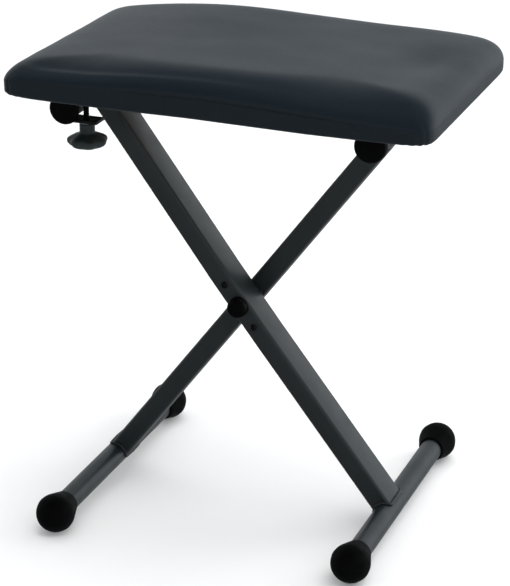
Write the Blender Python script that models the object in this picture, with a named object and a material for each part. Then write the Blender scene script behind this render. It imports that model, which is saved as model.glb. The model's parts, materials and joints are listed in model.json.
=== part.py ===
"""Folding bench: a padded seat on two crossed legs, clamped at its height by a knob.

Metres, +Z up. The origin is on the floor under the middle of the seat. +X runs along the
seat and +Y across it, from the front to the rear. Leg B and its crossbars are the fixed
frame. Leg A turns on the pivot bolt, the seat turns on the right top crossbar, and the
clamp jaw and knob hang from the seat at the left.
"""

import math

import bmesh
import bpy
from mathutils import Vector

# Driving sizes of the seat
SEAT_LENGTH = 0.450
SEAT_WIDTH = 0.288
SEAT_CORNER = 0.036
COVER_BOTTOM = 0.4675
COVER_SHOULDER = 0.4905
SEAT_TOP = 0.5175
SEAT_BOW = 0.0080
SHELL = 0.0011
BOARD_THICKNESS = 0.012

# Driving sizes of the frame
FRAME_X = -0.006
BAR_SPACING = 0.3264
TOP_BAR_Z = 0.4505
FOOT_RADIUS = 0.0208
TUBE_RADIUS = 0.012
TUBE_WALL = 0.0015
FOOT_BAR_HALF = 0.146
FOOT_BAR_SHIFT = 0.0035
TOP_BAR_HALF = 0.113

# The legs: rectangular tube, wide side across the bench
LEG_WIDTH = 0.022
LEG_DEPTH = 0.038
LEG_CORNER = 0.0035
LEG_WALL = 0.0015
LEG_PASSING_GAP = 0.0042
LEG_FLAT_HALF = 0.038
LEG_TOP_SHIFT = 0.008
LEG_FOOT_SHIFT = 0.005

# Pivot hardware and screws
BOLT_RADIUS = 0.004
NUT_FLATS = 0.013
WASHER_RADIUS = 0.009
WASHER_THICKNESS = 0.0016
NUT_CAP_RADIUS = 0.0109
NUT_CAP_DEPTH = 0.0104
INSERT_HALF = 0.036
INSERT_SCREW_SPAN = 0.027
SCREW_HEAD_RADIUS = 0.0037
SCREW_HEAD_HEIGHT = 0.0023
SCREW_SHANK_RADIUS = 0.0016

# Crossbar end caps
TOP_CAP_RADIUS = 0.0163
TOP_CAP_MOUTH_Y = 0.0995
TOP_CAP_END_Y = 0.1175
LEFT_FRONT_SHORTER = 0.009
FOOT_CAP_CENTRE_Y = 0.1531
FOOT_CAP_MOUTH_Y = 0.1285

# Under the seat
SADDLE_Y = 0.062
SADDLE_WIDTH = 0.024
SADDLE_HALF = 0.026
STRAP_THICKNESS = 0.002
STRAP_SCREW_X = 0.0195
RAIL_Y = 0.088
RAIL_WIDTH = 0.022
RAIL_LEFT = -0.2075
RAIL_RIGHT = -0.112
RAIL_SCREWS = (-0.200, -0.1195)
JAW_LEFT = -0.179
JAW_RIGHT = -0.1368
JAW_THICKNESS = 0.003
JAW_WIDTH = 0.020
STUD_OFFSET = 0.0168
STUD_RADIUS = 0.003
KNOB_RADIUS = 0.021
KNOB_STEM_RADIUS = 0.0079
KNOB_TOP_Z = 0.4333
KNOB_HEAD_TOP_Z = 0.4230
KNOB_BOTTOM_Z = 0.4083
KNOB_LOBES = 7

GAP = 0.0003
ROUND = 28

# Worked out from the sizes above
BOARD_BOTTOM = COVER_BOTTOM + SHELL + GAP
BOARD_TOP = BOARD_BOTTOM + BOARD_THICKNESS
RAIL_BOTTOM = TOP_BAR_Z + TUBE_RADIUS + GAP
JAW_TOP = TOP_BAR_Z - TUBE_RADIUS - GAP
RISE = TOP_BAR_Z - FOOT_RADIUS
PIVOT_Z = (TOP_BAR_Z + FOOT_RADIUS) / 2
LEG_SPAN = math.hypot(BAR_SPACING, RISE)
LEG_SLOPE = math.atan2(RISE, BAR_SPACING)
LEG_MID_Y = (LEG_DEPTH + LEG_PASSING_GAP) / 2
LEG_FACE_Y = LEG_DEPTH + LEG_PASSING_GAP / 2
RIGHT_BAR_X = FRAME_X + BAR_SPACING / 2
LEFT_BAR_X = FRAME_X - BAR_SPACING / 2
STUD_X = LEFT_BAR_X + STUD_OFFSET


def clear_scene():
    for obj in list(bpy.data.objects):
        bpy.data.objects.remove(obj, do_unlink=True)


def material(name, colour, roughness, metallic=0.0):
    mat = bpy.data.materials.new(name)
    mat.use_nodes = True
    shader = mat.node_tree.nodes["Principled BSDF"]
    shader.inputs["Base Color"].default_value = (*colour, 1.0)
    shader.inputs["Roughness"].default_value = roughness
    shader.inputs["Metallic"].default_value = metallic
    return mat


def mesh_object(name, bm, mat, parent=None, location=(0, 0, 0), rotation=(0, 0, 0)):
    """Turn a bmesh into a named object with its faces pointing out."""
    bmesh.ops.remove_doubles(bm, verts=bm.verts, dist=1e-7)
    bmesh.ops.recalc_face_normals(bm, faces=bm.faces)
    mesh = bpy.data.meshes.new(name)
    bm.to_mesh(mesh)
    bm.free()
    mesh.shade_smooth()
    mesh.set_sharp_from_angle(angle=math.radians(35))
    obj = bpy.data.objects.new(name, mesh)
    obj.location = location
    obj.rotation_euler = rotation
    obj.parent = parent
    bpy.context.scene.collection.objects.link(obj)
    if mat is not None:
        obj.data.materials.append(mat)
    return obj


def empty(name, location, rotation=(0, 0, 0)):
    obj = bpy.data.objects.new(name, None)
    obj.location = location
    obj.rotation_euler = rotation
    bpy.context.scene.collection.objects.link(obj)
    return obj


def turned(profile, segments=ROUND, axis="Z"):
    """Spin a closed outline of (radius, height) points about an axis."""
    bm = bmesh.new()
    verts = [bm.verts.new((radius, 0, height)) for radius, height in profile]
    edges = [bm.edges.new((verts[i], verts[(i + 1) % len(verts)])) for i in range(len(verts))]
    bmesh.ops.spin(bm, geom=verts + edges, cent=(0, 0, 0), axis=(0, 0, 1),
                   angle=2 * math.pi, steps=segments, use_merge=True)
    bmesh.ops.remove_doubles(bm, verts=bm.verts, dist=1e-6)
    flat = [face for face in bm.faces if face.calc_area() < 1e-12]
    bmesh.ops.delete(bm, geom=flat, context="FACES_ONLY")
    loose = [edge for edge in bm.edges if not edge.link_faces]
    bmesh.ops.delete(bm, geom=loose, context="EDGES")
    if axis == "Y":
        turn_to_y(bm)
    return bm


def turn_to_y(bm):
    """Lay a shape made about +Z along +Y."""
    for vert in bm.verts:
        vert.co = Vector((vert.co.x, vert.co.z, -vert.co.y))


def prism(outline, low, high, axis="Z"):
    """Extrude a closed outline. Axis Y takes (x, z) points, axis Z takes (x, y) points."""
    bm = bmesh.new()
    if axis == "Y":
        verts = [bm.verts.new((x, low, z)) for x, z in outline]
        step = (0, high - low, 0)
    else:
        verts = [bm.verts.new((x, y, low)) for x, y in outline]
        step = (0, 0, high - low)
    face = bm.faces.new(verts)
    grown = bmesh.ops.extrude_face_region(bm, geom=[face])
    moved = [item for item in grown["geom"] if isinstance(item, bmesh.types.BMVert)]
    bmesh.ops.translate(bm, verts=moved, vec=step)
    return bm


def rounded_rectangle(half_x, half_y, radius, steps):
    """Points of a rectangle with round corners, counter-clockwise."""
    points = []
    corners = ((1, 1), (-1, 1), (-1, -1), (1, -1))
    for index, (sign_x, sign_y) in enumerate(corners):
        for step in range(steps + 1):
            angle = math.pi / 2 * (index + step / steps)
            x = sign_x * (half_x - radius) + radius * math.cos(angle)
            y = sign_y * (half_y - radius) + radius * math.sin(angle)
            points.append((x, y))
    return points


def arc(centre_x, centre_y, radius, start, end, steps):
    """Points of an arc, angles in degrees."""
    points = []
    for step in range(steps + 1):
        angle = math.radians(start + (end - start) * step / steps)
        points.append((centre_x + radius * math.cos(angle), centre_y + radius * math.sin(angle)))
    return points


def bridge_rings(bm, rings):
    """Join rings of equally many points, each to the next."""
    loops = [[bm.verts.new(point) for point in ring] for ring in rings]
    for lower, upper in zip(loops, loops[1:]):
        for i in range(len(lower)):
            j = (i + 1) % len(lower)
            bm.faces.new((lower[i], lower[j], upper[j], upper[i]))
    return loops


def cut(obj, bm_cutter, name):
    """Subtract a shape, made in the object's own coordinates."""
    cutter = mesh_object(name, bm_cutter, None, parent=obj)
    cutter.hide_render = True
    cutter.display_type = "WIRE"
    modifier = obj.modifiers.new(name, "BOOLEAN")
    modifier.operation = "DIFFERENCE"
    modifier.solver = "EXACT"
    modifier.object = cutter


def cylinder(radius, low, high, centre=(0, 0), axis="Z", segments=ROUND):
    """A plain cylinder, used for holes."""
    bm = prism(arc(0, 0, radius, 0, 360 * (segments - 1) / segments, segments - 1), low, high)
    if axis == "Y":
        turn_to_y(bm)
        offset = (centre[0], 0, centre[1])
    else:
        offset = (centre[0], centre[1], 0)
    bmesh.ops.translate(bm, verts=bm.verts, vec=offset)
    return bm


def cross_cutter(depth, reach):
    """The cross recess of a screw head, opening at z = 0 and going down."""
    half_slot = 0.00045
    outline = [(reach, half_slot), (half_slot, half_slot), (half_slot, reach),
               (-half_slot, reach), (-half_slot, half_slot), (-reach, half_slot),
               (-reach, -half_slot), (-half_slot, -half_slot), (-half_slot, -reach),
               (half_slot, -reach), (half_slot, -half_slot), (reach, -half_slot)]
    return prism(outline, -depth, 0.001)


def screw(name, length, mat, parent, location, rotation, recess=False):
    """A pan head screw. Its head's underside is at the origin and its shank points down."""
    head = SCREW_HEAD_RADIUS
    tall = SCREW_HEAD_HEIGHT
    profile = [(0, tall), (head * 0.7, tall * 0.9), (head, tall * 0.35), (head, 0),
               (SCREW_SHANK_RADIUS, 0), (SCREW_SHANK_RADIUS, -length + 0.002), (0, -length)]
    obj = mesh_object(name, turned(profile, 18 if recess else 12), mat, parent, location,
                      rotation)
    if recess:
        cross = cross_cutter(0.0012, head * 0.55)
        bmesh.ops.translate(cross, verts=cross.verts, vec=(0, 0, tall))
        cut(obj, cross, name + "_recess")
    return obj


def crank(along):
    """How far a leg's centre line stands back towards the middle plane, at a point along it."""
    beyond = abs(along) - LEG_FLAT_HALF
    if beyond <= 0:
        return 0.0
    shift = LEG_FOOT_SHIFT if along > 0 else LEG_TOP_SHIFT
    return shift * beyond / (LEG_SPAN / 2 - LEG_FLAT_HALF)


def leg_tube(name, side, mat, parent):
    """A cranked rectangular tube, coped to both crossbars. Local +X runs to the foot."""
    half = LEG_SPAN / 2
    outer = rounded_rectangle(LEG_DEPTH / 2, LEG_WIDTH / 2, LEG_CORNER, 4)
    inner = rounded_rectangle(LEG_DEPTH / 2 - LEG_WALL, LEG_WIDTH / 2 - LEG_WALL,
                              LEG_CORNER - LEG_WALL, 4)
    stations = (-half, -LEG_FLAT_HALF, LEG_FLAT_HALF, half)
    rings = []
    for along in stations:
        middle = side * (LEG_MID_Y - crank(along))
        rings.append([(along, middle + y, z) for y, z in outer])
    for along in reversed(stations):
        middle = side * (LEG_MID_Y - crank(along))
        rings.append([(along, middle + y, z) for y, z in inner])
    rings.append(rings[0])
    bm = bmesh.new()
    bridge_rings(bm, rings)
    tube = mesh_object(name, bm, mat, parent)
    reach = LEG_DEPTH + 0.02
    for end, label in ((-half, "top"), (half, "foot")):
        cope = cylinder(TUBE_RADIUS + GAP, -reach, reach, (end, 0), "Y", 32)
        cut(tube, cope, name + "_cope_" + label)
    bore = cylinder(BOLT_RADIUS + GAP, -0.05, 0.05, (0, 0), "Y", 24)
    cut(tube, bore, name + "_bore")
    for along, label in ((-INSERT_SCREW_SPAN, "upper"), (INSERT_SCREW_SPAN, "lower")):
        low, high = sorted((side * (LEG_FACE_Y - 0.004), side * (LEG_FACE_Y + 0.004)))
        hole = cylinder(SCREW_SHANK_RADIUS + GAP, low, high, (along, 0), "Y", 16)
        cut(tube, hole, name + "_hole_" + label)
    return tube


def pivot_insert(name, side, mat, parent):
    """The block inside a leg that the pivot bolt and two screws go through."""
    outline = rounded_rectangle(LEG_DEPTH / 2 - LEG_WALL - GAP, LEG_WIDTH / 2 - LEG_WALL - GAP,
                                0.0017, 3)
    bm = bmesh.new()
    loops = bridge_rings(bm, [[(along, side * LEG_MID_Y + y, z) for y, z in outline]
                              for along in (-INSERT_HALF, INSERT_HALF)])
    for loop in loops:
        bm.faces.new(loop)
    block = mesh_object(name, bm, mat, parent)
    cut(block, cylinder(BOLT_RADIUS + GAP, -0.05, 0.05, (0, 0), "Y", 24), name + "_bore")
    for along, label in ((-INSERT_SCREW_SPAN, "upper"), (INSERT_SCREW_SPAN, "lower")):
        low, high = sorted((side * (LEG_FACE_Y - 0.016), side * (LEG_FACE_Y + 0.004)))
        hole = cylinder(SCREW_SHANK_RADIUS + GAP, low, high, (along, 0), "Y", 16)
        cut(block, hole, name + "_hole_" + label)
    return block


def round_tube(name, along, middle_y, half, mat, parent):
    """A crossbar: a round tube along Y, open at both ends."""
    inside = TUBE_RADIUS - TUBE_WALL
    bm = turned([(TUBE_RADIUS, -half), (TUBE_RADIUS, half), (inside, half), (inside, -half)],
                32, "Y")
    return mesh_object(name, bm, mat, parent, location=(along, middle_y, 0))


def cap_on_bar(name, outline, socket_depth_y, end, along, middle_y, mat, parent):
    """A cap pushed over a tube end. Outline points are (radius, distance from bar middle)."""
    bore = TUBE_RADIUS + GAP
    profile = outline + [(0, socket_depth_y), (bore, socket_depth_y), (bore, outline[0][1])]
    bm = turned([(radius, end * reach) for radius, reach in profile], 24, "Y")
    return mesh_object(name, bm, mat, parent, location=(along, middle_y, 0))


def foot_cap_outline():
    """From the mouth, up the flare, round the ball end to the axis."""
    flare_end = 150
    ball = arc(FOOT_CAP_CENTRE_Y, 0, FOOT_RADIUS, flare_end - 25, 0, 7)
    mouth = [(TUBE_RADIUS + 0.0016, FOOT_CAP_MOUTH_Y), (TUBE_RADIUS + 0.0022, FOOT_CAP_MOUTH_Y + 0.003)]
    return mouth + [(radius, reach) for reach, radius in ball[:-1]] + [(0, ball[-1][0])]


def top_cap_outline(shorter):
    """A short mushroom cap with a slightly domed end."""
    full = TOP_CAP_RADIUS
    end = TOP_CAP_END_Y - shorter
    deep = end - TOP_CAP_MOUTH_Y
    mouth = [(TUBE_RADIUS + 0.0014, TOP_CAP_MOUTH_Y),
             (TUBE_RADIUS + 0.0018, TOP_CAP_MOUTH_Y + 0.11 * deep),
             (full - 0.0012, TOP_CAP_MOUTH_Y + 0.30 * deep), (full, TOP_CAP_MOUTH_Y + 0.47 * deep)]
    edge = arc(end - 0.0052, full - 0.0045, 0.0045, 80, 15, 2)
    return mouth + [(radius, reach) for reach, radius in edge] + [(0, end)]


def leg_frame(letter, side, slope, foot_shift, mats):
    """One leg with its crossbars, caps, insert and screws, on an empty at the pivot."""
    frame = empty("leg_" + letter + "_frame", (FRAME_X, 0, PIVOT_Z), (0, slope, 0))
    half = LEG_SPAN / 2
    leg_tube("leg_" + letter + "_tube", side, mats["frame"], frame)
    round_tube("leg_" + letter + "_foot_crossbar", half, foot_shift, FOOT_BAR_HALF,
               mats["frame"], frame)
    shorter = LEFT_FRONT_SHORTER if letter == "a" else 0
    round_tube("leg_" + letter + "_top_crossbar", -half, shorter / 2, TOP_BAR_HALF - shorter / 2,
               mats["frame"], frame)
    foot_side = "right" if letter == "a" else "left"
    top_side = "left" if letter == "a" else "right"
    for end, place in ((-1, "front"), (1, "rear")):
        cap_on_bar("foot_cap_" + foot_side + "_" + place, foot_cap_outline(),
                   FOOT_BAR_HALF + GAP, end, half, foot_shift, mats["rubber"], frame)
        cut_back = shorter if place == "front" else 0
        cap_on_bar("top_cap_" + top_side + "_" + place, top_cap_outline(cut_back),
                   TOP_BAR_HALF - cut_back + GAP, end, -half, 0, mats["cap"], frame)
    pivot_insert("leg_" + letter + "_pivot_insert", side, mats["nylon"], frame)
    for along, label in ((-INSERT_SCREW_SPAN, "upper"), (INSERT_SCREW_SPAN, "lower")):
        screw("leg_" + letter + "_screw_" + label, 0.014, mats["screw"], frame,
              (along, side * (LEG_FACE_Y + GAP), 0), (-side * math.pi / 2, 0, 0), recess=True)
    return frame


def hexagon(flats):
    radius = flats / math.sqrt(3)
    return arc(0, 0, radius, 0, 300, 5)


def washer(name, inner, outer, low, high, mat, location, axis="Y"):
    bm = turned([(outer, low), (outer, high), (inner, high), (inner, low)], 28, axis)
    return mesh_object(name, bm, mat, None, location)


def nut_cap(name, side, mat, location):
    """A round black cover pushed over the nut or the bolt head."""
    start = LEG_FACE_Y + GAP
    end = start + NUT_CAP_DEPTH
    inside = 0.0083
    outline = [(NUT_CAP_RADIUS, start), (NUT_CAP_RADIUS, end - 0.0042)]
    outline += [(radius, reach) for reach, radius in
                arc(end - 0.0034, NUT_CAP_RADIUS - 0.0034, 0.0034, 80, 10, 3)]
    outline += [(0, end), (0, end - 0.0012), (inside, end - 0.0012), (inside, start)]
    bm = turned([(radius, side * reach) for radius, reach in outline], 24, "Y")
    return mesh_object(name, bm, mat, None, location)


def pivot_hardware(mats):
    """The bolt, its washers, nut and covers, fixed to leg B's side of the joint."""
    place = (FRAME_X, 0, PIVOT_Z)
    inner = BOLT_RADIUS + GAP
    face = LEG_FACE_Y
    spacer = LEG_PASSING_GAP / 2 - GAP
    washer("pivot_spacer_washer", inner, 0.0105, -spacer, spacer, mats["nylon"], place)
    for side, label in ((-1, "front"), (1, "rear")):
        low, high = sorted((side * (face + GAP), side * (face + GAP + WASHER_THICKNESS)))
        washer("pivot_washer_" + label, inner, 0.0079, low, high, mats["zinc"], place)
        nut_cap("pivot_cap_" + label, side, mats["cap"], place)
    head = face + 2 * GAP + WASHER_THICKNESS
    tip = -(head + 0.0072)
    mesh_object("pivot_bolt", bolt_mesh(head, tip), mats["zinc"], None, place)
    nut = prism(hexagon(NUT_FLATS), head, head + 0.0068)
    turn_to_y(nut)
    bmesh.ops.scale(nut, verts=nut.verts, vec=(1, -1, 1))
    nut_obj = mesh_object("pivot_nut", nut, mats["zinc"], None, place)
    cut(nut_obj, cylinder(inner, -0.06, -0.03, (0, 0), "Y", 24), "pivot_nut_bore")


def bolt_mesh(head, tip):
    """A hex head and its shank, grown from the head's underside so it is one body."""
    bm = bmesh.new()
    hexagon_points = hexagon(NUT_FLATS)
    segments = 24
    shank = arc(0, 0, BOLT_RADIUS, 0, 360 * (segments - 1) / segments, segments - 1)
    outer = []
    for x, z in shank:
        angle = math.atan2(z, x)
        outer.append(point_on_hexagon(hexagon_points, angle))
    rings = [[(x, head + 0.0050, z) for x, z in outer],
             [(x, head, z) for x, z in outer],
             [(x, head, z) for x, z in shank],
             [(x, tip + 0.0006, z) for x, z in shank],
             [(x * 0.85, tip, z * 0.85) for x, z in shank]]
    loops = bridge_rings(bm, rings)
    bm.faces.new(loops[0])
    bm.faces.new(loops[-1])
    return bm


def point_on_hexagon(corners, angle):
    """Where a ray from the middle meets the hexagon."""
    inner = NUT_FLATS / 2
    sector = (angle - math.pi / 6 + math.pi) % (math.pi / 3) - math.pi / 6
    radius = inner / math.cos(sector)
    limit = math.hypot(*corners[0])
    radius = min(radius, limit)
    return (radius * math.cos(angle), radius * math.sin(angle))


def seat_outline(inset, height, crown):
    """A ring of the seat's plan outline, moved in and lifted towards the middle of its length."""
    half_x = SEAT_LENGTH / 2 - inset
    half_y = SEAT_WIDTH / 2 - inset
    radius = max(SEAT_CORNER - inset, 0.012)
    ring = []
    for x, y in rounded_rectangle(half_x, half_y, radius, 5):
        lift = crown * (1 - (x / (SEAT_LENGTH / 2)) ** 2)
        ring.append((x, y, height + lift))
    return ring


def seat_profile(shrink, start):
    """Rows of (inset, height, bow) from the lower edge, over the roll, to the top."""
    rise = SEAT_TOP - SEAT_BOW - COVER_SHOULDER
    rows = [(0.0015 + shrink, start, 0), (shrink, start + 0.004, 0)]
    for inset, height, bow in ((0, 0.0, 0.4), (0.003, 0.34, 0.55), (0.010, 0.64, 0.75),
                               (0.024, 0.86, 0.9), (0.050, 0.96, 1.0), (0.100, 1.0, 1.0)):
        level = COVER_SHOULDER + rise * height - shrink
        rows.append((inset + shrink, level, SEAT_BOW * bow))
    return rows


def seat_skin(bm, rows):
    """Loft the rows of the profile into one surface, open at both ends."""
    return bridge_rings(bm, [seat_outline(*row) for row in rows])


def seat_cover(mat, parent):
    """The vinyl cover: a skin over the foam and board, turned in under the board's edge."""
    turn_in = 0.016
    outer = [(turn_in, COVER_BOTTOM, 0), (0.0045, COVER_BOTTOM, 0)] + \
        seat_profile(0, COVER_BOTTOM + 0.0018)
    inner = [(turn_in, COVER_BOTTOM + SHELL, 0)] + seat_profile(SHELL, COVER_BOTTOM + SHELL)
    bm = bmesh.new()
    outside = seat_skin(bm, outer)
    inside = seat_skin(bm, inner)
    bm.faces.new(outside[-1])
    bm.faces.new(list(reversed(inside[-1])))
    rim_out, rim_in = outside[0], inside[0]
    for i in range(len(rim_out)):
        j = (i + 1) % len(rim_out)
        bm.faces.new((rim_out[j], rim_out[i], rim_in[i], rim_in[j]))
    return mesh_object("seat_cover", bm, mat, parent)


def seat_foam(mat, parent):
    shrink = SHELL + GAP
    start = BOARD_TOP + GAP
    rows = [row for row in seat_profile(shrink, start) if row[1] > start - 1e-6]
    rows[0] = (shrink, start, 0)
    bm = bmesh.new()
    loops = seat_skin(bm, rows)
    bm.faces.new(loops[0])
    bm.faces.new(loops[-1])
    return mesh_object("seat_foam", bm, mat, parent)


def seat_board(mat, parent):
    inset = SHELL + 0.0030
    outline = [(x, y) for x, y, z in seat_outline(inset, 0, 0)]
    board = mesh_object("seat_board", prism(outline, BOARD_BOTTOM, BOARD_TOP), mat, parent)
    hole = SCREW_SHANK_RADIUS + GAP
    depth = BOARD_BOTTOM + 0.0095
    for x, y, label in fixing_points():
        cut(board, cylinder(hole, BOARD_BOTTOM - 0.002, depth, (x, y), "Z", 16),
            "board_pilot_" + label)
    stud = (STUD_X, -RAIL_Y)
    cut(board, cylinder(0.0042, BOARD_BOTTOM - 0.002, BOARD_TOP + 0.002, stud), "board_stud_hole")
    cut(board, cylinder(0.0100, BOARD_TOP - 0.0018, BOARD_TOP + 0.002, stud), "board_nut_seat")
    return board


def fixing_points():
    """Every screw that goes up into the board: x, y and a label."""
    points = []
    for side, label in ((-1, "front"), (1, "rear")):
        for sign, end in ((-1, "inner"), (1, "outer")):
            points.append((RIGHT_BAR_X + sign * STRAP_SCREW_X, side * SADDLE_Y,
                           "strap_" + label + "_" + end))
        for x, end in zip(RAIL_SCREWS, ("outer", "inner")):
            points.append((x, side * RAIL_Y, "rail_" + label + "_" + end))
    return points


def hinge(side, label, mats, parent):
    """The saddle above the right top crossbar and the strap below it."""
    low = side * SADDLE_Y - SADDLE_WIDTH / 2
    high = side * SADDLE_Y + SADDLE_WIDTH / 2
    bore = TUBE_RADIUS + GAP
    top = BOARD_BOTTOM - GAP
    split = TOP_BAR_Z + GAP / 2
    sink = math.degrees(math.asin(GAP / 2 / bore))
    arch = arc(RIGHT_BAR_X, TOP_BAR_Z, bore, sink, 180 - sink, 14)
    outline = arch + [(RIGHT_BAR_X - SADDLE_HALF, split), (RIGHT_BAR_X - SADDLE_HALF, top),
                      (RIGHT_BAR_X + SADDLE_HALF, top), (RIGHT_BAR_X + SADDLE_HALF, split)]
    saddle = mesh_object("hinge_saddle_" + label, prism(outline, low, high, "Y"),
                         mats["nylon"], parent)
    outer = bore + STRAP_THICKNESS
    flange = split - GAP
    under = flange - STRAP_THICKNESS
    cheek = math.degrees(math.asin((TOP_BAR_Z - under) / outer))
    inside = arc(RIGHT_BAR_X, TOP_BAR_Z, bore, 180 + sink, 360 - sink, 14)
    outside = arc(RIGHT_BAR_X, TOP_BAR_Z, outer, 360 - cheek, 180 + cheek, 14)
    outline = [(RIGHT_BAR_X - SADDLE_HALF, flange)] + inside + \
        [(RIGHT_BAR_X + SADDLE_HALF, flange), (RIGHT_BAR_X + SADDLE_HALF, under)] + outside + \
        [(RIGHT_BAR_X - SADDLE_HALF, under)]
    strap = mesh_object("hinge_strap_" + label, prism(outline, low + 0.002, high - 0.002, "Y"),
                        mats["zinc"], parent)
    for sign, end in ((-1, "inner"), (1, "outer")):
        x = RIGHT_BAR_X + sign * STRAP_SCREW_X
        hole = (x, side * SADDLE_Y)
        cut(saddle, cylinder(SCREW_SHANK_RADIUS + GAP, 0.40, 0.50, hole, "Z", 16),
            "saddle_hole_" + label + "_" + end)
        cut(strap, cylinder(SCREW_SHANK_RADIUS + GAP, 0.40, 0.50, hole, "Z", 16),
            "strap_hole_" + label + "_" + end)
        screw("strap_screw_" + label + "_" + end, 0.0285, mats["screw"], parent,
              (x, side * SADDLE_Y, under - GAP), (math.pi, 0, 0))


def glide_rail(side, label, mats, parent):
    """The strip that the left top crossbar bears on and slides along."""
    low = side * RAIL_Y - RAIL_WIDTH / 2
    high = side * RAIL_Y + RAIL_WIDTH / 2
    lead = 0.003
    top = BOARD_BOTTOM - GAP
    outline = [(RAIL_LEFT, RAIL_BOTTOM + lead), (RAIL_LEFT + lead, RAIL_BOTTOM),
               (RAIL_RIGHT - lead, RAIL_BOTTOM), (RAIL_RIGHT, RAIL_BOTTOM + lead),
               (RAIL_RIGHT, top), (RAIL_LEFT, top)]
    rail = mesh_object("glide_rail_" + label, prism(outline, low, high, "Y"), mats["nylon"],
                       parent)
    seat_z = RAIL_BOTTOM + SCREW_HEAD_HEIGHT + 3 * GAP
    for x, end in zip(RAIL_SCREWS, ("outer", "inner")):
        hole = (x, side * RAIL_Y)
        cut(rail, cylinder(SCREW_SHANK_RADIUS + GAP, 0.45, 0.48, hole, "Z", 16),
            "rail_hole_" + label + "_" + end)
        cut(rail, cylinder(SCREW_HEAD_RADIUS + 2 * GAP, 0.45, seat_z, hole, "Z", 20),
            "rail_sink_" + label + "_" + end)
        screw("rail_screw_" + label + "_" + end, 0.0105, mats["screw"], parent,
              (x, side * RAIL_Y, seat_z - GAP), (math.pi, 0, 0))
    if side < 0:
        cut(rail, cylinder(STUD_RADIUS + 2 * GAP, 0.45, 0.48, (STUD_X, -RAIL_Y), "Z", 20),
            "rail_stud_hole")


def clamp_stud(mats, parent):
    """The threaded stud and the tee nut in the board that holds it."""
    stud = [(0, BOARD_TOP - 0.0005), (STUD_RADIUS, BOARD_TOP - 0.0005),
            (STUD_RADIUS, KNOB_BOTTOM_Z + 0.0045), (STUD_RADIUS - 0.0006, KNOB_BOTTOM_Z + 0.0038),
            (0, KNOB_BOTTOM_Z + 0.0038)]
    place = (STUD_X, -RAIL_Y, 0)
    mesh_object("clamp_stud", turned(stud, 20), mats["screw"], parent, place)
    inner = STUD_RADIUS + GAP
    barrel = 0.0042 - GAP
    flange = 0.0100 - GAP
    under = BOARD_TOP - 0.0018 + GAP
    nut = [(flange, BOARD_TOP - GAP), (inner, BOARD_TOP - GAP), (inner, BOARD_BOTTOM + 0.001),
           (barrel, BOARD_BOTTOM + 0.001), (barrel, under), (flange, under)]
    mesh_object("clamp_tee_nut", turned(nut, 24), mats["zinc"], parent, place)


def clamp_jaw(mats, parent):
    """The flat plate that pulls the left top crossbar up against the front rail."""
    bottom = JAW_TOP - JAW_THICKNESS
    left, right = JAW_LEFT - STUD_X, JAW_RIGHT - STUD_X
    outline = [(left, bottom), (right, bottom), (right, JAW_TOP), (left, JAW_TOP)]
    bm = prism(outline, -JAW_WIDTH / 2, JAW_WIDTH / 2, "Y")
    jaw = mesh_object("clamp_jaw", bm, mats["screw"], parent)
    cut(jaw, cylinder(STUD_RADIUS + 2 * GAP, 0.42, 0.45, (0, 0), "Z", 20), "jaw_hole")
    top = bottom - GAP
    ring = [(0.0078, top - 0.0012), (0.0078, top), (STUD_RADIUS + GAP, top),
            (STUD_RADIUS + GAP, top - 0.0012)]
    mesh_object("clamp_washer", turned(ring, 28), mats["zinc"], parent)


def knob_outline(radius, depth):
    """A lobed outline: round fingers with hollows between them."""
    points = []
    steps = KNOB_LOBES * 6
    for step in range(steps):
        angle = 2 * math.pi * step / steps
        swell = 0.5 + 0.5 * math.cos(KNOB_LOBES * angle)
        reach = radius - depth * (1 - swell) ** 1.6
        points.append((reach * math.cos(angle), reach * math.sin(angle)))
    return points


def clamp_knob(mats, parent):
    """A lobed knob with a stem, and the threaded insert moulded into it."""
    bore = 0.0048
    rows = [(KNOB_STEM_RADIUS, KNOB_TOP_Z, 0), (KNOB_STEM_RADIUS, KNOB_HEAD_TOP_Z, 0),
            (KNOB_RADIUS * 0.70, KNOB_HEAD_TOP_Z - 0.0022, 0.0005),
            (KNOB_RADIUS * 0.94, KNOB_HEAD_TOP_Z - 0.0046, 0.0018),
            (KNOB_RADIUS, KNOB_HEAD_TOP_Z - 0.0070, 0.0022),
            (KNOB_RADIUS * 0.95, KNOB_HEAD_TOP_Z - 0.0098, 0.0021),
            (KNOB_RADIUS * 0.80, KNOB_BOTTOM_Z + 0.0014, 0.0013),
            (KNOB_RADIUS * 0.55, KNOB_BOTTOM_Z, 0.0)]
    rings = [[(x, y, height) for x, y in knob_outline(radius, depth)]
             for radius, height, depth in rows]
    socket = KNOB_BOTTOM_Z + 0.0030
    hole = [[(x * bore / KNOB_STEM_RADIUS, y * bore / KNOB_STEM_RADIUS, height)
             for x, y in knob_outline(KNOB_STEM_RADIUS, 0)] for height in (KNOB_TOP_Z, socket)]
    bm = bmesh.new()
    outside = bridge_rings(bm, rings)
    inside = bridge_rings(bm, hole)
    bm.faces.new(outside[-1])
    bm.faces.new(inside[-1])
    count = len(outside[0])
    for i in range(count):
        j = (i + 1) % count
        bm.faces.new((outside[0][i], outside[0][j], inside[0][j], inside[0][i]))
    mesh_object("clamp_knob", bm, mats["knob"], parent)
    sleeve = [(bore - GAP, KNOB_TOP_Z - 0.0002), (STUD_RADIUS + GAP, KNOB_TOP_Z - 0.0002),
              (STUD_RADIUS + GAP, socket + GAP), (bore - GAP, socket + GAP)]
    mesh_object("knob_insert", turned(sleeve, 24), mats["brass"], parent)


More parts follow.
